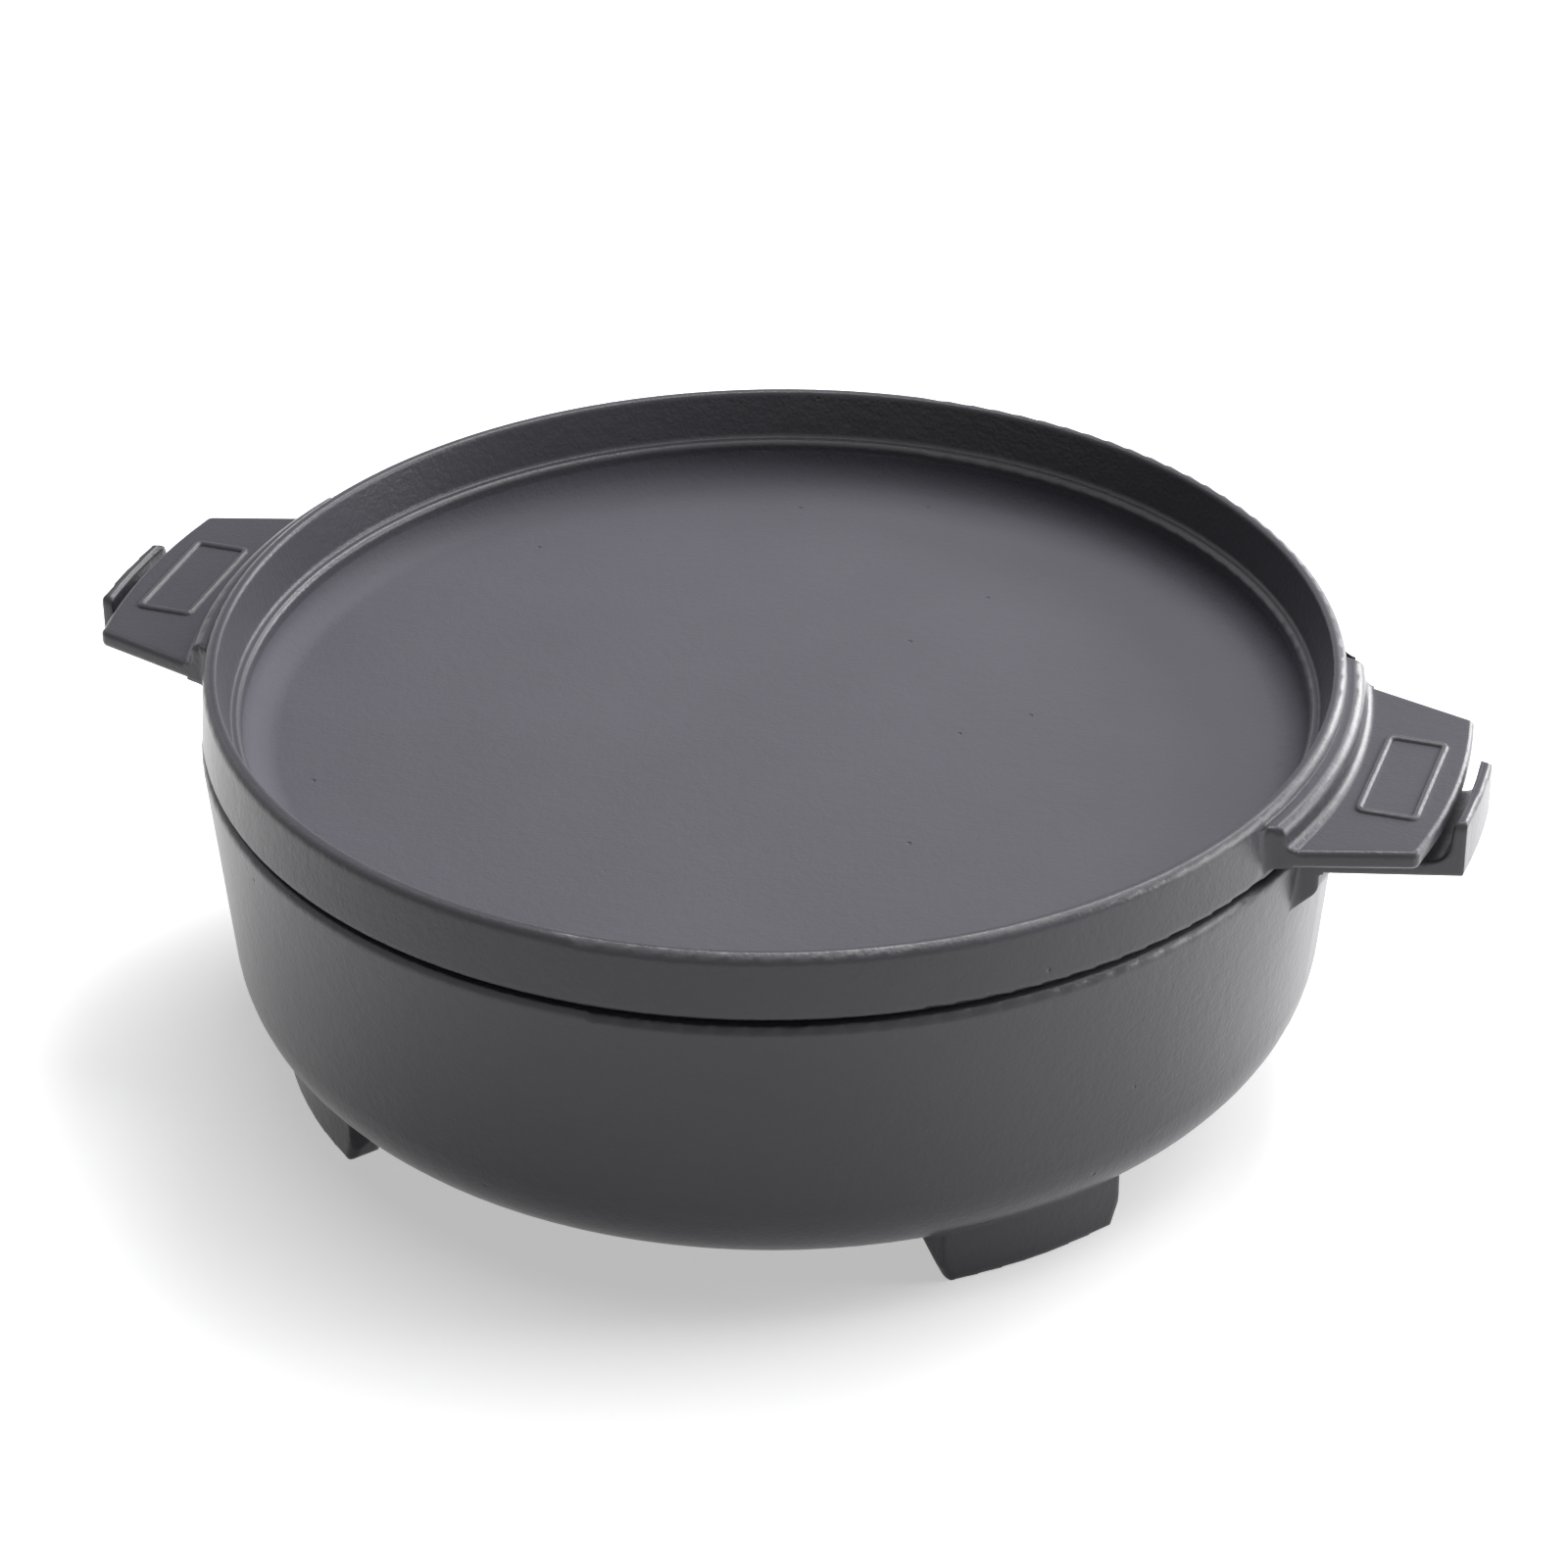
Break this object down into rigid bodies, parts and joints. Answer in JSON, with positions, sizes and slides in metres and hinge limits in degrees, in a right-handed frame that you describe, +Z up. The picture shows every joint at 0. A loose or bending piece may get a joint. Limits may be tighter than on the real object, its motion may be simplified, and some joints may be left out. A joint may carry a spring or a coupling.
{
  "type": "camp dutch oven",
  "caption": "Round cast-iron camp pot on short feet with hooked side handles, under a lift-off lid that doubles as a rimmed griddle.",
  "frame": {"origin": "centre of the pot's round body on the floor that the feet stand on", "axes": "+Z up along the pot's axis and the way the lid lifts, X along the line of the handles, the longest side"},
  "size_m": [0.3916, 0.3136, 0.117],
  "materials": {
    "pot_iron": "seasoned matte, as cast",
    "lid_iron": "seasoned matte, as cast"
  },
  "bodies": {
    "pot": {"pot": "pot_iron"},
    "lid": {"griddle_lid": "lid_iron"}
  },
  "joints": [
    {"name": "lid_lift", "type": "slide", "parent": "pot", "child": "lid", "axis": [0, 0, 1], "range_m": [0, 0.15]}
  ]
}
